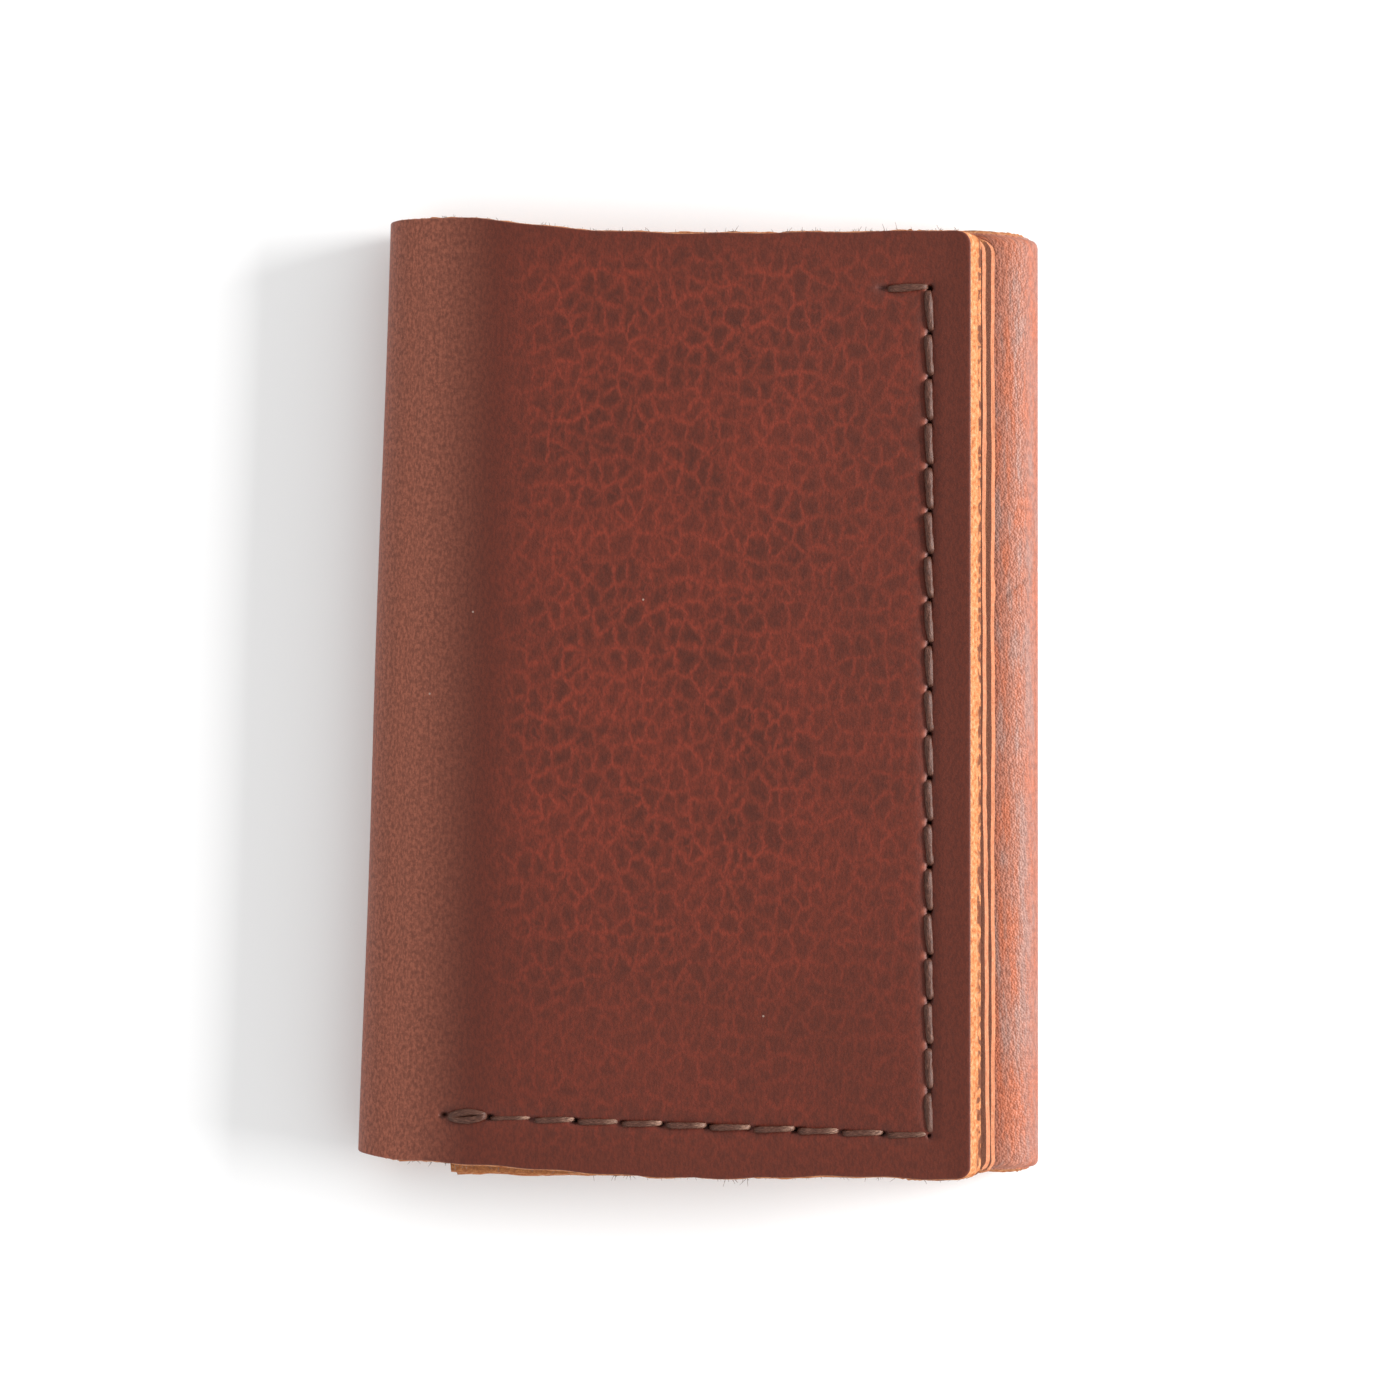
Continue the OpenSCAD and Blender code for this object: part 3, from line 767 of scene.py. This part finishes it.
# panel, fold and flap as one profile by its own length: along the table to the right, a half
# ellipse up and over, and back towards the spine, sinking to the flap's height by a smooth step;
# the flesh side is the same profile moved along its normal, and all is carried along the side
def makeBack():
    print("back panel, fold and flap")
    wide, high = backLook["foldWide"], backLook["foldHigh"]
    panel = spread(0, 1, 0.012)[:-1]                                   # shares of the panel's length
    turn = np.linspace(0, math.pi, 44)
    flap = spread(0, 1, 0.014)[1:]                                     # shares of the flap's length
    flapTop = flapHigh[2]
    part = np.concatenate([panel * 0, turn * 0 + 1, flap * 0 + 2])
    up = spread(bottomY + holder["arris"], topY - holder["arris"], 0.75,
                [(bottomY, 0.5, 0.13), (topY, 0.5, 0.13), (backHoles[0][1], 0.5, 0.25),
                 (backLook["creaseY"], 2.0, 0.2)])
    foldX = (sideAt(up, wide) - cornerCut(up, backLook["cornerR"]))[:, None]
    panelX = flatX + (foldX - flatX) * panel[None, :]
    turnX = foldX + wide * np.sin(turn)[None, :]
    turnZ = high / 2 - high / 2 * np.cos(turn)[None, :] + foldX * 0
    flapX = foldX + (flapLow[0] - foldX) * flap[None, :]
    flapZ = flapTop + (high - flapTop) * (1 - smooth((foldX - flapX) / backLook["settle"]))
    x = np.concatenate([panelX, turnX, flapX], 1)
    z = np.concatenate([panelX * 0, turnZ, flapZ], 1)
    reachX = x - spineX
    v = ((up - up[0]) / (up[-1] - up[0]))[:, None]
    y = up[:, None] + backStray(reachX, v)
    tx, tz = np.gradient(x, axis=1), np.gradient(z, axis=1)
    length = np.maximum(np.hypot(tx, tz), 1e-9)
    nx, nz = tz / length, -tx / length                                 # grain normal: down, right, then up
    pinch = bump(y, backHoles[0][1], 2.2) * (part == 2)[None, :] * smooth((sideAt(y, 5.5) - x) / 4)
    # the hole field dips the leather into each hole and also paints shade there
    pit = holeField(x, y, backHoles, backLook["holeWide"]) * ((part != 1)[None, :])
    z = z - backLook["pinch"] * pinch
    grainX, grainZ = x - nx * 0.5 * pit, z - nz * 0.5 * pit
    groove = bump(alongSeam(x, y, backHoles[0], backHoles[-1]), 0, 0.8) * ((part != 1)[None, :])
    grainX, grainZ = grainX - nx * 0.2 * groove, grainZ - nz * 0.2 * groove
    crease = bump(y - backLook["creaseY"] - 0.9 * (x - sideAt(y, 2.2)), 0, 0.22)
    crease = crease * bump(x, sideAt(y, 2.4), 2.4) * (z > flapHigh[2] - 3)
    grainX, grainZ = grainX - nx * 0.12 * crease, grainZ - nz * 0.12 * crease
    grain = np.stack([grainX, y, grainZ], -1)
    flesh = np.stack([x - nx * coverT, y, z - nz * coverT], -1)
    rows, cols = x.shape
    rim = rimOf(rows, cols)
    outward = np.zeros((len(rim), 3))
    outward[rim < cols, 1] = -1
    outward[rim >= (rows - 1) * cols, 1] = 1
    mouth = (rim % cols == cols - 1) & (rim >= cols) & (rim < (rows - 1) * cols)
    outward[mouth] = (-1, 0, 0)
    step = np.hypot(np.diff(x, axis=1), np.diff(z, axis=1))
    unrolled = np.concatenate([np.zeros((rows, 1)), np.cumsum(step, 1)], 1)
    uv = np.stack([-unrolled, y], -1)
    isFold = (part == 1)[None, :] * smooth((z - 0.4) / 1.5)
    nearFold = (part == 2)[None, :] * (1 - smooth((foldX - x - 1) / 7))
    inward = sideAt(y, 0) - x                                          # mm in from the outside of the fold
    # the pull mark paints the fold's highlight over its pull-up, kept weaker near the fold's outside, where
    # the lamp already lights the turned leather
    pull = np.clip(isFold + nearFold, 0, 1) * (1 - 0.42 * smooth((2.6 - inward) / 2.6))
    # a quarter of the wear colour with its painted sheen
    marks = {"network": (1 - pull) * 0.55 * smooth(np.abs(reachX - 5) / 8), "worn": 0.25 + 0 * pull,
             # the crease is painted a little darker too, as shade
             "pull": pull, "pit": np.maximum(pit, 0.3 * crease), "lip": pit * 0}
    piece = leatherSheet("backLeather", grain, flesh, outward, uv, leatherSet, marks,
                         flare=backLook["flare"])
    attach(piece, "back")
    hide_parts("back_panel", "pocket_fold", "back_pocket")
    return piece


pocketLook = {
    "arris": 0.1,            # mm
    "cutSlant": 0.42,        # mm that the cut slopes in towards the flesh side
    "holeWide": 0.34,        # mm, radius
    "fray": 0.05,            # mm
    "freeRim": 3.2,          # mm of the right rim that is free to wave
    "cornerR": 1.3,          # mm
}


upperPocket = {
    "lift": -0.05,           # mm that the free rim waves up or down
    "fan": 0.36,             # mm that it is fanned out to the right towards the bottom edge
    "hang": 0.0,             # mm that it hangs out further at the bottom edge
    "phase": 0.4,            # radians, where its waves start
}
lowerPocket = {"lift": -0.22, "fan": 0.0, "hang": 0.22, "phase": 2.1}


# a thin layer under the cover: two sheets of points in plan, the grain side facing down and the
# flesh side up, that sink towards the spine as the cover does; the free right rim waves a little
def makePocket(name, node, low, high, own):
    print(name)
    arris, phase = pocketLook["arris"], own["phase"]
    inset = sideX - high[0]
    across = spread(low[0] + arris, sideAt(bottomY, inset), 0.8,
                    [(sideCorner[0], 0.6, 0.3), (high[0], 0.3, 0.3)])
    up = spread(bottomY - 0.45 - own["hang"], topY - 0.25, 0.7,
                [(bottomY, 0.7, 0.16), (topY, 0.6, 0.16), (seamY, 0.5, 0.3)])

    def raggedLow(m):
        return (0.06 * np.sin(m * 0.8 + phase) - 0.6 * (1 - smooth((m - 12) / 22))
                + 1.9 * smooth((m - 28) / 38))

    def raggedHigh(m):
        return 0.06 * np.sin(m * 0.8 + phase)

    x, y = planGrid(low[0] + arris, inset, across, up, arris, raggedLow, raggedHigh, pocketLook["cornerR"])
    fromSide = sideAt(y, inset) - x
    edge = smooth((pocketLook["freeRim"] - fromSide) / pocketLook["freeRim"])
    x = x + edge * 0.04 * (np.sin(y * 0.23 + phase) + 0.6 * np.sin(y * 0.83 + 2 * phase))
    x = x + edge * own["fan"] * smooth((10 - y) / 60)
    wave = edge * own["lift"] * (0.6 + 0.4 * np.sin(y * 0.16 + phase))
    base = -sink(x) + wave
    # the hole field dips the leather into each hole and also paints shade there
    pit = holeField(x, y, frontHoles, pocketLook["holeWide"])
    seams = np.minimum(alongSeam(x, y, sideHoles[0], sideHoles[-1]),
                       alongSeam(x, y, bottomHoles[0], bottomHoles[-1]))
    # grain side down: the grain grid runs right to left so that its faces look down
    upper = high[2] + base
    under = low[2] + base + 0.15 * bump(seams, 0, 0.8) + 0.35 * pit
    grain = np.stack([x, y, under], -1)[:, ::-1]
    flesh = np.stack([x, y, upper], -1)[:, ::-1]
    outward = rimOutward(x[:, ::-1], y[:, ::-1], False) * -1
    slant = np.zeros((len(outward), 3))
    slant[:, 0] = -pocketLook["cutSlant"] * smooth((outward[:, 0] - 0.2) / 0.6)
    uv = np.stack([-40 - x[:, ::-1], y[:, ::-1]], -1)
    m = (x - spineX)[:, ::-1]
    # a quarter of the wear colour with its painted sheen, and along the free rim a little of the pull colour
    # with its painted highlight
    marks = {"network": 0.5 * smooth((m - 12) / 6), "worn": 0.25 + 0 * m, "pull": 0.15 * edge[:, ::-1],
             # the pocket rim mark paints shade on the flesh beside the cut and tints the cut walls
             "pit": pit[:, ::-1], "lip": 0 * m, "bare": smooth((1.6 - fromSide) / 0.8)[:, ::-1]}
    piece = leatherSheet(name, grain, flesh, outward, uv, leatherSet, marks, arris=arris, wallRings=5,
                         fray=pocketLook["fray"], flare=0, slant=slant)
    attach(piece, "front")
    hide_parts(node)
    return piece


stitchShape = {
    "wide": 0.42,            # mm, half width
    "high": 0.28,            # mm, half height
    "proud": 0.05,           # mm that a stitch's centre stands above its groove
    "deep": 0.95,            # mm that its ends dip into the holes
    "slant": 0.16,           # mm that it leans across the seam
    "ends": 13,              # how square its ends are
    "thinner": 0.34,         # share that it narrows towards its ends
    "ply": 0.17,             # share that the waists between the plies are sunk
    "laid": 2.1,             # radians that the plies turn in one stitch
    "coverSunk": 0.15,       # mm that the cover's groove lies below its face
    "pocketSunk": 0.10,      # mm that the groove under the pockets lies above their face
}


# one stitch between two holes: the centre line rises out of one hole and sinks into the next by a
# flat-topped curve, and a two-ply outline, an ellipse with two shallow waists that turn as it goes,
# is carried along it; face(x, y) is the leather's height, side is +1 up or -1 down
def stitchTube(start, end, face, side, wide=1.0, bow=0.0, rise=0.0, sunk=0.0, rub=0.12):
    rings, sides = 26, 16
    s = np.linspace(0, 1, rings)
    d = np.array(end) - np.array(start)
    run = np.hypot(*d)
    along = d / run
    cross = np.array([-along[1], along[0]])
    leanAcross = stitchShape["slant"] * (0.7 + 0.6 * rng.random()) * (2 * s - 1)
    forward = 0.05 + s * (run - 0.1)
    sideways = leanAcross + bow * 4 * s * (1 - s)
    line = np.array(start)[None, :] + along * forward[:, None] + cross * sideways[:, None]
    dip = np.abs(2 * s - 1) ** stitchShape["ends"]
    lift = (stitchShape["proud"] + rise) * (1 - dip) - stitchShape["deep"] * dip - sunk * (1 - dip)
    height = face(line[:, 0], line[:, 1]) + side * lift
    swell = 1 - stitchShape["thinner"] * np.abs(2 * s - 1) ** 4
    swell = swell * (1 + 0.05 * np.sin(s * 9 + rng.random() * 6))
    taper = 1 + 0.12 * (1 - 2 * s)
    angle = np.linspace(0, 2 * math.pi, sides, endpoint=False)
    twist = stitchShape["laid"] * s[:, None] + rng.random() * 3
    ply = 1 - stitchShape["ply"] * np.cos(2 * (angle[None, :] - twist)) ** 8
    a = stitchShape["wide"] * wide * (swell * taper)[:, None] * np.cos(angle)[None, :] * ply
    b = stitchShape["high"] * (swell * taper)[:, None] * np.sin(angle)[None, :] * ply
    x = line[:, 0][:, None] + cross[0] * a
    y = line[:, 1][:, None] + cross[1] * a
    z = height[:, None] + b
    points = np.stack([x, y, z], -1).reshape(-1, 3)
    i = np.arange(rings - 1)[:, None] * sides + np.arange(sides)[None, :]
    j = np.arange(rings - 1)[:, None] * sides + (np.arange(sides) + 1)[None, :] % sides
    quads = np.stack([i, j, j + sides, i + sides], -1).reshape(-1, 4)
    caps = []
    for first, flip in ((0, False), ((rings - 1) * sides, True)):
        for k in range(0, sides // 2 - 1):
            quad = [first + k, first + k + 1, first + sides - 2 - k, first + sides - 1 - k]
            caps.append(quad if flip else quad[::-1])
    faces = np.concatenate([quads, np.array(caps)])
    lengthways = (s * run)[:, None] * 0.35 + 0 * x
    roundways = (angle / 2.2)[None, :] * 3 + 0.4 * twist + 0 * x
    mapped = np.stack([lengthways, roundways], -1).reshape(-1, 2)
    rubbed = (smooth((s - 0.58) / 0.3) * (1 - dip))[:, None] * rub * (0.4 + 0.6 * rng.random()) + 0 * x
    return points, faces, mapped + rng.random(2) * 50, rubbed.ravel()


def seamPiece(name, tubes, body, node):
    firsts = np.cumsum([0] + [len(points) for points, _, _, _ in tubes])
    points = np.concatenate([points for points, _, _, _ in tubes])
    faces = np.concatenate([faces + first for (_, faces, _, _), first in zip(tubes, firsts)])
    uv = np.concatenate([mapped[faces].reshape(-1, 2) for _, faces, mapped, _ in tubes])
    rubbed = np.concatenate([rub for _, _, _, rub in tubes])
    piece = linked(name, points, faces, [threadLook], np.zeros(len(faces)), uv, {"rubbed": rubbed})
    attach(piece, body)
    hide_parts(node)
    return piece


def coverFace(x, y):
    return stack - sink(np.asarray(x)) - stitchShape["coverSunk"]


def pocketUnder(x, y):
    return lowerLow[2] - sink(np.asarray(x)) + stitchShape["pocketSunk"]


def makeFrontSeam():
    print("front seam")
    tubes = []
    for a, b in zip(sideHoles[:-1], sideHoles[1:]):
        tubes.append(stitchTube(b, a, coverFace, 1, 1.0, bow=-0.10 + 0.05 * rng.random()))
        tubes.append(stitchTube(a, b, pocketUnder, -1, 0.95))
    for k, (a, b) in enumerate(zip(bottomHoles[:-1], bottomHoles[1:])):
        isLast = k == len(bottomHoles) - 2
        if isLast:                                                     # doubled where the pocket's mouth is
            tubes.append(stitchTube(a, b, coverFace, 1, 0.9, bow=0.42, rise=0.08))
            tubes.append(stitchTube(b, a, coverFace, 1, 0.9, bow=0.42, rise=0.04))
        else:
            isThin = k == len(bottomHoles) - 3                         # and pulled thin beside it
            wide, sunk = (0.6, 0.18) if isThin else (0.82, 0.05)
            tubes.append(stitchTube(b, a, coverFace, 1, wide, sunk=sunk, rub=1.0))
        tubes.append(stitchTube(a, b, pocketUnder, -1, 0.9))
    a, b = stubHoles
    tubes.append(stitchTube(b, a, coverFace, 1, 0.95))
    tubes.append(stitchTube(a, b, pocketUnder, -1, 0.9))
    return seamPiece("frontSeamStitches", tubes, "front", "front_seam_thread")


def makeBackSeam():
    print("back seam")
    pinched = backLook["pinch"]

    def flapFace(x, y):
        foldX = sideAt(backHoles[0][1], backLook["foldWide"])
        x = np.asarray(x)
        crest = (backLook["foldHigh"] - flapHigh[2]) * (1 - smooth((foldX - x) / backLook["settle"]))
        return flapHigh[2] + crest - pinched * smooth((sideAt(backHoles[0][1], 5.5) - x) / 4) - 0.12

    def panelFace(x, y):
        return 0.34 + 0 * np.asarray(x)

    tubes = []
    for a, b in zip(backHoles[:-1], backHoles[1:]):
        tubes.append(stitchTube(b, a, flapFace, 1, 0.9))
        tubes.append(stitchTube(a, b, panelFace, -1, 0.85))
    return seamPiece("backSeamStitches", tubes, "back", "back_seam_thread")


fibreShape = {
    "points": 6,             # along each hair
    "radius": 0.046,         # mm, drawn as thick as it needs to show
    "frontCount": 1500,      # hairs
    "frontReach": 0.21,      # mm, a short hair's length
    "backCount": 520,
    "backReach": 0.20,
}


# short curved hairs, each a three-sided tube along a bent line that starts on a cut edge: places
# gives the roots and the directions away from the leather
def makeFibres(name, body, count, places, reach):
    print(name)
    roots, away = places(rng.random(count))
    length = reach * (0.35 + rng.random(count) ** 2)
    bend = rng.normal(0, 1.5, (count, 3))
    rings = fibreShape["points"]
    s = np.linspace(0, 1, rings)[None, :, None]
    direction = away + rng.normal(0, 0.45, (count, 3)) * np.array([1, 1, 0.6])
    straight = direction[:, None, :] * length[:, None, None] * s
    curl = bend[:, None, :] * length[:, None, None] * s ** 2 * 0.7
    line = roots[:, None, :] + straight + curl
    angle = np.radians([0, 120, 240])
    ring = np.stack([np.cos(angle), np.sin(angle) * 0.7, np.sin(angle)], -1)
    radius = fibreShape["radius"] * (1 - 0.6 * s[..., None])
    points = line[:, :, None, :] + ring[None, None, :, :] * radius
    base = np.arange(count)[:, None, None] * rings * 3
    i = base + np.arange(rings - 1)[None, :, None] * 3 + np.arange(3)[None, None, :]
    j = base + np.arange(rings - 1)[None, :, None] * 3 + (np.arange(3)[None, None, :] + 1) % 3
    quads = np.stack([i, j, j + 3, i + 3], -1).reshape(-1, 4)
    points = points.reshape(-1, 3)
    points[:, 2] = np.maximum(points[:, 2], 0.05)                      # above the table
    uv = np.repeat(rng.random(len(quads))[:, None] * 40, 8, 1).reshape(-1, 2)
    piece = linked(name, points, quads, [fibreLook], np.zeros(len(quads)), uv)
    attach(piece, body)
    return piece


def frontEdges(t):
    top = rng.random(len(t)) < 0.5
    wide = sideAt(np.where(top, topY, bottomY), sideX - coverHigh[0]) - holder["cornerR"] - flatX - 1.2
    x = flatX + 1 + (t + 0.006 * np.sin(t * 240)) * wide               # loose tufts, short of the corner
    m = x - spineX
    y = np.where(top, topY + topStray(m), bottomY + bottomStray(m)) + np.where(top, -0.05, 0.05)
    z = stack - coverT * (0.5 + 0.5 * rng.random(len(t))) - sink(x)
    away = np.stack([0 * x, np.where(top, 1.0, -1.0), 0 * x - 0.1], -1)
    return np.stack([x, y, z], -1), away


def backEdges(t):
    top = rng.random(len(t)) < 0.5
    x = flatX + 2 + t * (sideX - flatX - 8)
    share = 0.2 + 0.8 * rng.random(len(t))                             # of the thickness, from the grain side
    out = backLook["flare"] * smooth(share * 1.2) - 0.08
    y = np.where(top, topY + backStray(x - spineX, 1) + out, bottomY + backStray(x - spineX, 0) - out)
    z = coverT * share
    away = np.stack([0 * x, np.where(top, 1.0, -1.0), 0 * x + 0.1], -1)
    return np.stack([x, y, z], -1), away


makeCover()
print("spine")
spineNames = ["spineBendBack", "spineBendLower", "spineBendUpper", "spineBendFront"]
replacedNodes = [None, "spine_lower", "spine_middle", "spine_upper"]
for number, name in enumerate(spineNames):
    spineStrip(name, number, replacedNodes[number])
makeBack()
makePocket("upperPocketLeather", "card_pocket_upper", upperLow, upperHigh, upperPocket)
makePocket("lowerPocketLeather", "card_pocket_lower", lowerLow, lowerHigh, lowerPocket)
makeFrontSeam()
makeBackSeam()
makeFibres("frontEdgeFibres", "front", fibreShape["frontCount"], frontEdges, fibreShape["frontReach"])
makeFibres("backEdgeFibres", "back", fibreShape["backCount"], backEdges, fibreShape["backReach"])


studio = {
    "distance": 400,         # mm from the camera to the cover
    "fromRight": 5.5,        # degrees off the vertical, towards the right
    "fromBottom": 1.0,       # degrees off the vertical, towards the bottom edge
    "roll": -1.9,            # degrees that the camera is turned about its own axis
    "lens": 97.2,            # mm
    "sensor": 36,            # mm wide
    "lookX": -0.6,           # mm, the point that the camera looks at
    "keyHeight": 18.8,       # degrees above the table
    "keyTurn": 6.5,          # degrees towards the top edge
    "keyPower": 11.7,        # watts
    "keyAway": 0.8,          # m
    "keySize": (0.20, 0.48),     # m
    "skyBetween": (0.72, 0.98),  # heights between which the room darkens towards its ceiling
    "skyStrength": (1.02, 0.22),     # at those two heights
    "floorHalf": 3.0,        # m
    "floorDrop": 0.00005,    # m below the holder
}


def lookAt(piece, place, target, upHint):
    back = np.array(place, float) - np.array(target, float)
    back /= np.linalg.norm(back)
    right = np.cross(upHint, back)
    right /= np.linalg.norm(right)
    over = np.cross(back, right)
    rows = [[right[i], over[i], back[i], place[i]] for i in range(3)]
    piece.matrix_world = Matrix(rows + [[0, 0, 0, 1]])


def makeCamera():
    camera = bpy.data.objects.new("camera", bpy.data.cameras.new("camera"))
    camera.data.lens = studio["lens"]
    camera.data.sensor_width = studio["sensor"]
    bpy.context.scene.collection.objects.link(camera)
    a, b, r = (math.radians(studio[k]) for k in ("fromRight", "fromBottom", "roll"))
    target = np.array([studio["lookX"], 0.0, stack]) * mm
    offset = np.array([math.sin(a), -math.sin(b), math.cos(a)]) * studio["distance"] * mm
    lookAt(camera, target + offset, target, np.array([math.sin(r), math.cos(r), 0]))
    bpy.context.scene.camera = camera


def areaLight(name, place, target, wide, tall, power, colour):
    data = bpy.data.lights.new(name, "AREA")
    data.shape = "RECTANGLE"
    data.size, data.size_y = wide, tall
    data.energy = power
    data.color = linear(colour)[:3]
    light = bpy.data.objects.new(name, data)
    bpy.context.scene.collection.objects.link(light)
    lookAt(light, place, target, np.array([0, 1, 0.01]))


def makeStudio():
    print("studio")
    scene = bpy.context.scene
    scene.view_settings.view_transform = "Standard"
    world = bpy.data.worlds.new("paleSurround")
    world.use_nodes = True
    # a white room whose ceiling is darker straight above the table
    sky = world.node_tree
    direction = addNode(sky, "TexCoord", None, "Generated")
    up = addNode(sky, "SeparateXYZ", None, 2, Vector=direction)
    (fromUp, toUp), (bright, dim) = studio["skyBetween"], studio["skyStrength"]
    strength = addNode(sky, "MapRange", eased, i0=up, i1=fromUp, i2=toUp, i3=bright, i4=dim)
    sky.links.new(strength, sky.nodes["Background"].inputs["Strength"])
    sky.nodes["Background"].inputs["Color"].default_value = (1, 1, 1, 1)
    scene.world = world
    h, t = math.radians(studio["keyHeight"]), math.radians(studio["keyTurn"])
    key = np.array([math.cos(h) * math.cos(t), math.cos(h) * math.sin(t), math.sin(h)])
    areaLight("keyLight", key * studio["keyAway"], (0, 0, 0.004), *studio["keySize"], studio["keyPower"],
              "#ffffff")
    floor, tree, shader = newMaterial("matPaleCard")                   # matt white card
    shader.inputs["Base Color"].default_value = linear("#ffffff")
    shader.inputs["Roughness"].default_value = 0.9
    shader.inputs["Specular IOR Level"].default_value = 0.1
    mesh = bpy.data.meshes.new("floor")
    half = studio["floorHalf"]
    corners = [(-half, -half, 0), (half, -half, 0), (half, half, 0), (-half, half, 0)]
    mesh.from_pydata(corners, [], [(0, 1, 2, 3)])
    mesh.materials.append(floor)
    ground = bpy.data.objects.new("floor", mesh)
    ground.location = (0, 0, -studio["floorDrop"])
    scene.collection.objects.link(ground)
    ground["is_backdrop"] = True


makeCamera()
makeStudio()
